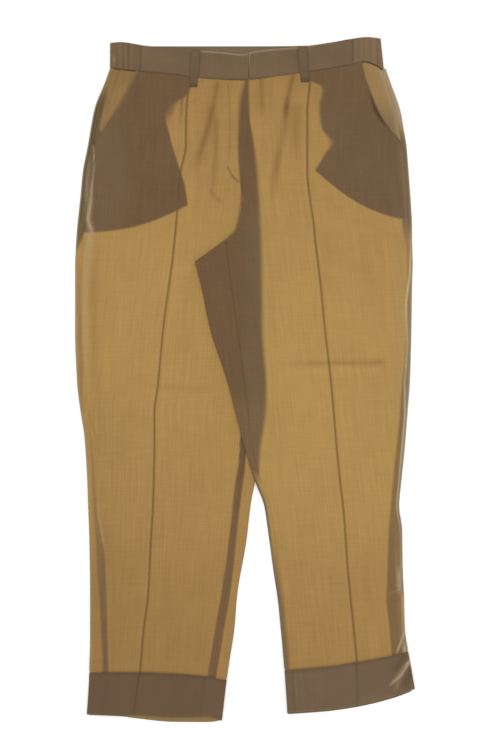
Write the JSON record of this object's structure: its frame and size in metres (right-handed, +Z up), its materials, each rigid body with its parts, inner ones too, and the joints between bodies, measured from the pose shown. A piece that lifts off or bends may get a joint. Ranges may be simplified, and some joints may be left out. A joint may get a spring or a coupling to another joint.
{
  "type": "trousers",
  "caption": "Tapered linen trousers laid flat, front up, with an elastic-sided waistband, slanted pockets, stitched front creases and turned-up cuffs",
  "frame": {"origin": "middle of the footprint, on the surface the trousers lie on", "axes": "+Y along the legs towards the waistband, +Z up out of the front of the trousers, +X towards the wearer's left"},
  "size_m": [0.476, 0.9592, 0.0088],
  "materials": {
    "linen": "matte golden brown linen",
    "linen_doubled": "the same linen where it is doubled, dark brown"
  },
  "bodies": {
    "root": {"front_right": "linen", "front_left": "linen", "back_right": "linen", "back_left": "linen", "pocket_right": "linen_doubled", "pocket_left": "linen_doubled", "fly_shield": "linen_doubled", "band_back": "linen_doubled", "band_front_right": "linen_doubled", "band_front_left": "linen_doubled", "belt_loop_right": "linen_doubled", "belt_loop_left": "linen_doubled", "cuff_right": "linen_doubled", "cuff_left": "linen_doubled"}
  },
  "joints": []
}
